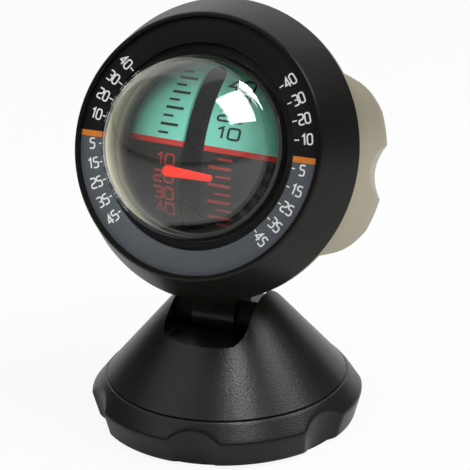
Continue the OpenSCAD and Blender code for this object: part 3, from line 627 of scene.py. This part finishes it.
NODE_FINISH = {
    "adhesive_pad": foam, "base_plate": steel, "base_screws": steel, "base_flange": foot_black,
    "cone_turret": foot_black, "swivel_bolt": steel, "spring_washer": steel, "thrust_washer": nylon,
    "tilt_pin": steel, "tilt_spacers": rubber, "neck": foot_black, "neck_screws": steel,
    "rear_housing": silver, "rear_cover": silver, "cover_screws": steel, "bezel": bezel_black,
    "dial_ring": dial_print, "dome_lens": dome_clear, "dome_seal": rubber, "capsule_cup": cream,
    "filler_plug": rubber, "roll_pin": steel, "roll_clip": steel, "face_upper": teal,
    "face_lower": face_black, "horizon_strip": red, "roll_frame": frame_black, "roll_weights": brass,
    "pitch_axle": steel, "pointer_rotor": rotor_black, "pointer_bar": pointer_orange, "pitch_weight": brass,
}
for node_name, material in NODE_FINISH.items():
    nodes[node_name].data.materials.clear()
    nodes[node_name].data.materials.append(material)


# ---- Head ----

def bezel_profile():
    """A lip round the ring, a straight flank, a skirt that is open at the rear, and the ledge that
    carries the ring."""
    lip_r = RING_OUTER_R + SLIDE_GAP
    lip_top_r, flank_r = lip_r + BEZEL_LIP_W - 0.3, lip_r + BEZEL_LIP_W + 0.1
    flank_d, flank_end_d = 0.4 - BEZEL_LIP_H, BEZEL_DEPTH - 0.4
    skirt_r, rear_r, step_d = BEZEL_R - BEZEL_WALL, BEZEL_R - 0.3, SPIGOT_D - 0.8
    ledge_r, ledge_root_r, ledge_d = lip_r - LEDGE_W, lip_r + 1.2, RING_T + LEDGE_T
    return rounded_profile([
        (lip_r, -BEZEL_LIP_H, 0.12), (lip_top_r, -BEZEL_LIP_H, 0.25), (flank_r, flank_d, 0.5),
        (BEZEL_R, flank_end_d, 0.35), (rear_r, BEZEL_DEPTH, 0.12), (skirt_r, BEZEL_DEPTH, 0.2),
        (skirt_r, step_d, 0.3), (ledge_root_r, ledge_d, 0.5), (ledge_r, ledge_d, 0.1),
        (ledge_r, RING_T, 0.05), (lip_r, RING_T, 0.05),
    ])


def ring_profile():
    """A flat ring with its edges rounded."""
    return rounded_profile([
        (RING_INNER_R, 0.0, 0.12), (RING_OUTER_R, 0.0, 0.05), (RING_OUTER_R, RING_T, 0.05),
        (RING_INNER_R, RING_T, 0.1),
    ], steps=3)


def dome_profile():
    """An outer quarter circle from the axis to the dial plane, the flange with its edges cut off,
    and an inner quarter circle back to the axis."""
    rise = np.linspace(0, pi / 2, 49)
    arc = np.stack([np.sin(rise), -np.cos(rise)], 1)
    root, edge = 0.2, 0.1
    flange = np.array([
        (DOME_R, DOME_FLANGE_D - root), (DOME_R + root, DOME_FLANGE_D),
        (CAPSULE_FLANGE_R - edge, DOME_FLANGE_D), (CAPSULE_FLANGE_R, DOME_FLANGE_D + edge),
        (CAPSULE_FLANGE_R, SEAL_D - edge), (CAPSULE_FLANGE_R - edge, SEAL_D), (DOME_BORE_R, SEAL_D),
    ])
    return np.concatenate([DOME_R * arc, flange, DOME_BORE_R * arc[::-1]])


def film_profile():
    """A film of two arcs about the dial centre, from the dial plane 40 degrees forwards."""
    rise = np.linspace(0, radians(40), 33)
    arc = np.stack([np.cos(rise), -np.sin(rise)], 1)
    return np.concatenate([FILM_R * arc, FILM_BORE_R * arc[::-1]])


bezel_shell = turned("bezel_shell", bezel_profile(), head, "head", bezel_black, "bezel_plastic",
                     replaces=["bezel"])
turned("dial_plate", ring_profile(), head, "head", dial_print, "dial_print", replaces=["dial_ring"])
dome_glass = turned("dome_glass", dome_profile(), head, "head", dome_clear, "clear_plastic", closed=False,
                    replaces=["dome_lens"])
turned("liquid_rim_film", film_profile(), head, "head", liquid_rim, "cream_plastic", crease=80)


# ---- Dial ring's print ----

def ring_scale():
    """Strokes of the numbers and of the ticks, at their true angles on either side. The numbers
    read along the radius. A row is the radius of its numbers' middles and of its ticks' outer ends,
    and the lower row stands a little further in."""
    figure_size, figure_stroke, figure_step = (1.15, 2.25), 0.34, 1.5
    tick_start, tick_stroke = RING_INNER_R + 0.15, 0.26
    upper_row, lower_row = (25.75, 24.05), (25.4, 23.7)
    numbers, ticks = [], []
    for value in (40, 30, 20, 10, -5, -15, -25, -35, -45):
        number_r, tick_end = upper_row if value > 0 else lower_row
        for right_side in (True, False):
            where = radians(value if right_side else 180 - value)
            line = radians(value if right_side else -value)
            numbers += figures(str(abs(value)), figure_size, figure_stroke, number_r * cos(where),
                               number_r * sin(where), line, figure_step)
            ticks.append(([(r * cos(where), r * sin(where)) for r in (tick_start, tick_end)],
                          tick_stroke, False))
    return numbers, ticks


def level_marks():
    """A broad bar across the ring at the left and at the right."""
    edge, stroke = 0.04, 1.3
    inner, outer = RING_INNER_R + edge, RING_OUTER_R - edge
    return [([(side * inner, 0), (side * outer, 0)], stroke, False) for side in (-1, 1)]


ring_numbers, ring_ticks = ring_scale()
printed("ring_numbers", ring_numbers, on_ring, "head", white_print, "dial_print")
printed("ring_ticks", ring_ticks, on_ring, "head", white_print, "dial_print")
printed("ring_level_marks", level_marks(), on_ring, "head", orange_print, "dial_print", height=0.03)


# ---- Ball's print ----

def face_height(angle):
    """Height on the face of a mark for an angle in degrees: the sine of a share of it."""
    share = 0.853
    return FACE_R * sin(radians(share * angle))


def face_scale():
    """Strokes of ticks and numbers above and below the horizon strip: a tick every 5 degrees, a
    long one with its number every 10. The upper ticks lean out as they rise."""
    long_stroke, short_stroke = 0.62, 0.5
    upper_start, upper_lean, upper_long, upper_short = -9.9, 0.1, 4.9, 2.9
    lower_end, lower_long, lower_short = 9.1, 4.2, 5.9
    upper_x, upper_size, lower_x, lower_size = 6.9, (2.3, 2.4), -6.8, (2.3, 2.35)
    figure_stroke, figure_step = 0.48, 3.0
    upper_ticks, upper_numbers, lower_ticks, lower_numbers = [], [], [], []
    for angle in range(5, 50, 5):
        height = face_height(angle)
        long = angle % 10 == 0
        stroke = long_stroke if long else short_stroke
        start = upper_start + upper_lean * height
        end = start + (upper_long if long else upper_short)
        upper_ticks.append(([(start, height), (end, height)], stroke, False))
        start = lower_long if long else lower_short
        lower_ticks.append(([(start, -height), (lower_end, -height)], stroke, False))
        if long:
            for numbers, size, x, y in ((upper_numbers, upper_size, upper_x, height),
                                        (lower_numbers, lower_size, lower_x, -height)):
                numbers += figures(str(angle), size, figure_stroke, x, y, 0, figure_step)
    return upper_ticks, upper_numbers, lower_ticks, lower_numbers


upper_ticks, upper_numbers, lower_ticks, lower_numbers = face_scale()
printed("face_ticks_upper", upper_ticks, on_face, "ball", black_print, "face_black")
printed("face_numbers_upper", upper_numbers, on_face, "ball", black_print, "face_black")
printed("face_ticks_lower", lower_ticks, on_face, "ball", red_print, "horizon_red")
printed("face_numbers_lower", lower_numbers, on_face, "ball", red_print, "horizon_red")


# ---- Pointer ----

def pointer_surface(name):
    """The bar: round ends in plan, its height falling straight from the blunt left end to the fine
    right end, and a superellipse of power 4 across, thinner towards the ends."""
    stations, around_count = 65, 32
    roundness, thinning = 2 / 4, 0.6
    half_l, blunt, fine = BAR_L / 2, BAR_BLUNT_H / 2, BAR_FINE_H / 2
    x = half_l * np.sin(np.linspace(-1, 1, stations) * pi / 2)
    left, right = blunt - half_l, half_l - fine
    share = np.clip((x - left) / (right - left), 0, 1)
    half_h = blunt + (fine - blunt) * share
    half_h = np.where(x < left, np.sqrt(np.maximum(blunt ** 2 - (x - left) ** 2, 0)), half_h)
    half_h = np.where(x > right, np.sqrt(np.maximum(fine ** 2 - (x - right) ** 2, 0)), half_h)
    half_t = BAR_T / 2 * np.clip(half_h / fine, 0, 1) ** thinning
    around = np.linspace(0, 2 * pi, around_count, endpoint=False)
    y = np.sign(np.cos(around)) * np.abs(np.cos(around)) ** roundness * half_h[:, None]
    z = BAR_MID_R + np.sign(np.sin(around)) * np.abs(np.sin(around)) ** roundness * half_t[:, None]
    verts = on_pointer(x[:, None] + 0 * y, y, z)
    return piece(name, verts, wrap(stations, around_count), "pointer", pointer_orange, "pointer_orange",
                 crease=60, replaces=["pointer_bar"])


pointer_surface("pointer_bar_shell")
softened("rotor_shell", "pointer_rotor", "pointer", rotor_black, width=0.12, segments=2)


# ---- Foot ----

def scallop_limit(angle, z):
    """Radius at which a leaning scallop cutter cuts the skirt: the near root of the cutter's
    ellipse, or a radius well outside the skirt where the cutter isn't met."""
    uncut = 60.0
    apart = 2 * pi / SCALLOPS
    off = (angle - SCALLOP_TURN + apart / 2) % apart - apart / 2
    edge = FLANGE_EDGE_R - SCALLOP_DEPTH
    centre = edge + SCALLOP_R + (z - FLANGE_EDGE_Z) * tan(SCALLOP_LEAN)
    squash = cos(SCALLOP_LEAN) ** 2
    a = np.cos(off) ** 2 * squash + np.sin(off) ** 2
    b = -2 * centre * np.cos(off) * squash
    c = centre ** 2 * squash - SCALLOP_R ** 2
    inside = b * b - 4 * a * c
    return np.where(inside > 0, (-b - np.sqrt(np.maximum(inside, 0))) / (2 * a), uncut)


def flange_profile():
    """The skirt with its widest edge, the seam under the cone, the swivel boss and its bore."""
    edge_half_h, seam_step, longest = 0.3, 0.2, 0.8
    edge_low_z, edge_high_z = FLANGE_EDGE_Z - edge_half_h, FLANGE_EDGE_Z + edge_half_h
    skirt_inner_r = FLANGE_FOOT_R - FLANGE_WALL
    boss_top_z, ceiling_z = SEAM_Z + SWIVEL_BOSS_H, SEAM_Z - FLANGE_PLATE_T
    bore_r = SWIVEL_BOLT_R + RUN_CLEAR
    profile = rounded_profile([
        (skirt_inner_r, PAD_T, 0.1), (FLANGE_FOOT_R, PAD_T, 0.5),
        (FLANGE_EDGE_R, edge_low_z, 0.4), (FLANGE_EDGE_R, edge_high_z, 0.4),
        (SEAM_R + seam_step, SEAM_Z, 0.25), (SWIVEL_BOSS_R, SEAM_Z, 0.1), (SWIVEL_BOSS_R, boss_top_z, 0.2),
        (bore_r, boss_top_z, 0.1), (bore_r, ceiling_z, 0.1), (skirt_inner_r, ceiling_z, 0.1),
    ], steps=4)
    return dense_loop(profile, longest)


def flange_surface(name):
    """The flange's profile carried round. Past the skirt's inner wall its radius is the smooth
    least of the profile's and the scallops', -k log(exp(-r1/k) + exp(-r2/k))."""
    columns, k, outer_from = 600, 0.12, 27.0
    profile = flange_profile()
    angle = np.linspace(0, 2 * pi, columns, endpoint=False)
    r, z = profile[:, 0, None], profile[:, 1, None]
    limit = scallop_limit(angle[None, :], z)
    least = np.minimum(r, limit)
    cut = least - k * np.log(np.exp(-(r - least) / k) + np.exp(-(limit - least) / k))
    cut = np.where(r > outer_from, cut, r + 0 * limit)
    verts = upright(cut * np.cos(angle), cut * np.sin(angle), z + 0 * cut)
    return piece(name, verts, wrap(len(profile), columns, close_rows=True), "foot", foot_black,
                 "foot_plastic", crease=45, replaces=["base_flange"])


foot_pieces = (
    flange_surface("flange_shell"),
    softened("cone_shell", "cone_turret", "turret", foot_black, width=0.35),
    softened("neck_shell", "neck", "head", foot_black, width=0.4),
)
softened("housing_shell", "rear_housing", "head", silver, width=0.4)
softened("cover_shell", "rear_cover", "head", silver, width=0.25)

# ---- View: fitted to the photograph; shift and focal length are in pixels of a 470 wide picture ----

VIEW_TARGET = np.array([0.0, 0.0, 50.0])
VIEW_DISTANCE = 500
AZIMUTH, ELEVATION, ROLL = radians(25.1), radians(20.72), radians(-1.41)
PICTURE_W = 470
FOCAL = 2209.66
CENTRE_SHIFT = (12.18, 24.31)
SENSOR_W = 36
CLIP_END_M = 20

toward = np.array([sin(AZIMUTH) * cos(ELEVATION), -cos(AZIMUTH) * cos(ELEVATION), sin(ELEVATION)])
level = np.array([cos(AZIMUTH), sin(AZIMUTH), 0.0])
upward = np.cross(toward, level)
view_right = cos(ROLL) * level + sin(ROLL) * upward
view_up = -sin(ROLL) * level + cos(ROLL) * upward


def unit(vector):
    """The vector at length 1."""
    return vector / np.linalg.norm(vector)


def stand(obj, up_hint, back, place):
    """Puts a camera or lamp at a place in mm, looking against back, its top towards the hint."""
    right = unit(np.cross(up_hint, back))
    matrix = np.eye(4)
    matrix[:3, :] = np.stack([right, np.cross(back, right), back, place * MM], axis=1)
    obj.matrix_world = Matrix(matrix.tolist())


def make_camera():
    """The fitted view, turned so that its middle is the picture's middle, without lens shift."""
    data = bpy.data.cameras.new("camera")
    data.sensor_width = SENSOR_W
    data.lens = FOCAL * SENSOR_W / PICTURE_W
    data.clip_end = CLIP_END_M
    camera = added("camera", data)
    back = unit(FOCAL * toward + CENTRE_SHIFT[1] * view_up - CENTRE_SHIFT[0] * view_right)
    stand(camera, view_up, back, VIEW_TARGET + VIEW_DISTANCE * toward)
    return camera


scene.camera = make_camera()

# ---- Lamps ----

LAMP_AIM = np.array([0.0, -8.0, 55.0])
# Offsets of the window's two panes from the dome's middle, in dome radii (right, up)
WIDE_PANE, TALL_PANE = (0.41, 0.40), (0.62, 0.49)


def mirrored_from(offset):
    """The direction that the dome mirrors at an offset from its middle, in dome radii (right, up)."""
    nx, ny = offset
    nz = sqrt(1 - nx * nx - ny * ny)
    return 2 * nz * nx, 2 * nz * ny, 2 * nz * nz - 1


def area_lamp(name, direction, distance, size, strength, vertical=(0, 0, 1)):
    """A soft box that looks at the head from a direction given as (right, up, towards the camera).
    Its size is in metres and its strength in watts."""
    away = unit(direction[0] * view_right + direction[1] * view_up + direction[2] * toward)
    data = bpy.data.lights.new(name, "AREA")
    data.shape = "RECTANGLE"
    data.size, data.size_y = size
    data.energy = strength
    lamp = added(name, data)
    stand(lamp, vertical, away, LAMP_AIM + distance * away)
    return lamp


def linked(lamp, name, state, pieces):
    """INCLUDE: the lamp lights these pieces alone. EXCLUDE: it lights all but these."""
    group = bpy.data.collections.new(name)
    for obj in pieces:
        group.objects.link(obj)
    for entry in group.collection_objects:
        entry.light_linking.link_state = state
    lamp.light_linking.receiver_collection = group


window_light = area_lamp("window_light", (0.64, 0.72, 0.30), 620, (0.30, 0.26), 2.1)
top_left_light = area_lamp("top_left_light", (-0.75, 0.8, 0.45), 750, (0.7, 0.5), 1.4)
front_light = area_lamp("front_light", (0.22, 0.62, 0.75), 800, (0.5, 0.6), 2.4)
sheen_light = area_lamp("sheen_light", (0.12, 0.75, 0.65), 800, (0.12, 0.4), 5.6)
wide_pane = area_lamp("wide_pane", mirrored_from(WIDE_PANE), 620, (0.4, 0.36), 8, vertical=view_up)
tall_pane = area_lamp("tall_pane", mirrored_from(TALL_PANE), 620, (0.12, 0.42), 5, vertical=view_up)

# The dome mirrors the window's panes alone, the sheen falls on the foot and the front light on the dial
linked(wide_pane, "wide_pane_on_dome", "INCLUDE", (dome_glass,))
linked(tall_pane, "tall_pane_on_dome", "INCLUDE", (dome_glass,))
linked(window_light, "window_past_dome", "EXCLUDE", (dome_glass,))
linked(top_left_light, "all_but_dome", "EXCLUDE", (dome_glass,))
linked(front_light, "all_but_blacks", "EXCLUDE", (dome_glass, bezel_shell, *foot_pieces))
linked(sheen_light, "foot_alone", "INCLUDE", foot_pieces)


# ---- Stage ----

def make_world():
    """White all round, at full strength in the picture, in reflections and through the dome, and
    dimmer where it lights the pieces."""
    lighting, seen_strength = 0.32, 1.0
    world = bpy.data.worlds.new("studio")
    world.use_nodes = True
    tree = world.node_tree
    backdrop = tree.nodes["Background"]
    backdrop.inputs["Color"].default_value = (1, 1, 1, 1)
    ray = tree.nodes.new("ShaderNodeLightPath").outputs
    bent = math_node(tree, "MAXIMUM", ray["Is Transmission Ray"], ray["Is Glossy Ray"])
    seen = math_node(tree, "MAXIMUM", ray["Is Camera Ray"], bent)
    feed(tree, mapped(tree, seen, lighting, seen_strength), backdrop.inputs["Strength"])
    return world


def make_canopy():
    """A dark part of a sphere over the front and the sides, which only reflections see: a grid of
    azimuth and height."""
    radius_m, columns, rows = 1.5, 57, 18
    around, rise = np.meshgrid(np.radians(np.linspace(-120, 160, columns)),
                               np.radians(np.linspace(2, 88, rows)), indexing="ij")
    points = radius_m * np.stack([np.sin(around) * np.cos(rise), -np.cos(around) * np.cos(rise),
                                  np.sin(rise)], -1)
    mesh = bpy.data.meshes.new("canopy")
    mesh.from_pydata(points.reshape(-1, 3).tolist(), [],
                     wrap(columns, rows, close_columns=False).tolist())
    mat, _, shader = new_material("canopy_grey")
    shader.inputs["Base Color"].default_value = (0.02, 0.02, 0.02, 1)
    shader.inputs["Roughness"].default_value = 1.0
    shader.inputs["Emission Color"].default_value = (1, 1, 1, 1)
    shader.inputs["Emission Strength"].default_value = 0.06
    mesh.materials.append(mat)
    canopy = added("canopy", mesh)
    for ray in ("camera", "diffuse", "transmission", "volume_scatter", "shadow"):
        setattr(canopy, "visible_" + ray, False)
    return canopy


def make_floor():
    """A white square that glows for the camera, so that only the object's shadow shows on it."""
    half_m, glow_share = 6, 0.9
    corners = [(x * half_m, y * half_m, 0) for x, y in ((-1, -1), (1, -1), (1, 1), (-1, 1))]
    mesh = bpy.data.meshes.new("floor")
    mesh.from_pydata(corners, [], [(0, 1, 2, 3)])
    mat, tree, shader = new_material("floor_white")
    shader.inputs["Base Color"].default_value = (0.86, 0.86, 0.86, 1)
    shader.inputs["Roughness"].default_value = 0.9
    glow = tree.nodes.new("ShaderNodeEmission")
    glow.inputs["Color"].default_value = (1, 1, 1, 1)
    ray = tree.nodes.new("ShaderNodeLightPath")
    share = product(tree, ray.outputs["Is Camera Ray"], glow_share)
    blended_surface(mat, share, shader.outputs["BSDF"], glow.outputs["Emission"])
    mesh.materials.append(mat)
    return added("floor", mesh)


scene.world = make_world()
make_canopy()
make_floor()
scene.view_settings.view_transform = "Standard"
